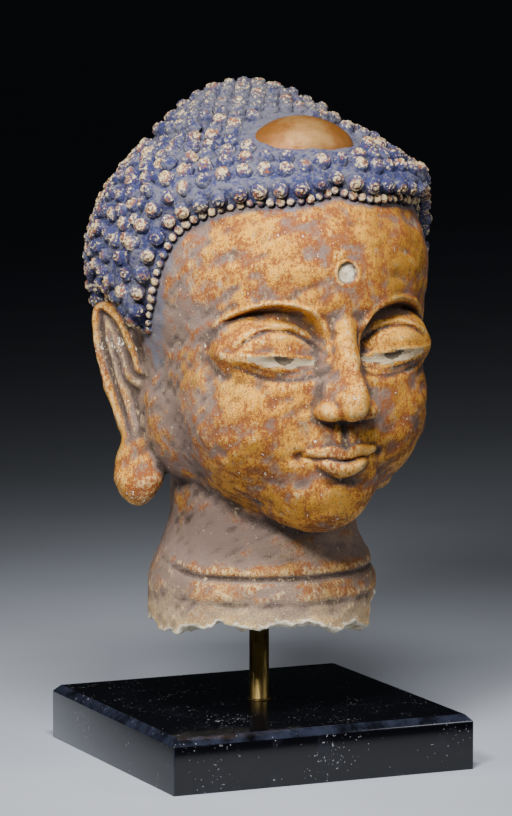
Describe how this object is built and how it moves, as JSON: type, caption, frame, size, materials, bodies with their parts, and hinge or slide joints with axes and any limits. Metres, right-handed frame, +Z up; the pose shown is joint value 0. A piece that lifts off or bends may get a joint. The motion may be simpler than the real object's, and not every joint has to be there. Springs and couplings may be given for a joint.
{
  "type": "moulded stucco Buddha head on a brass rod and a black lacquered plinth",
  "caption": "Life-size-and-a-half stucco head with snail-shell curls, broken at the neck, held by a brass rod on a square black plinth.",
  "frame": {"origin": "middle of the plinth's underside", "axes": "+Z up, the plinth's sides along X and Y, the face towards -Y and turned 2 degrees towards +X"},
  "size_m": [0.302, 0.3345, 0.5495],
  "materials": {
    "stucco": "worn gilding and blue pigment over stucco",
    "rod_brass": "aged satin",
    "plinth_lacquer": "black gloss lacquer"
  },
  "bodies": {
    "root": {"head": "stucco", "mount_rod": "rod_brass", "plinth": "plinth_lacquer"}
  },
  "joints": []
}
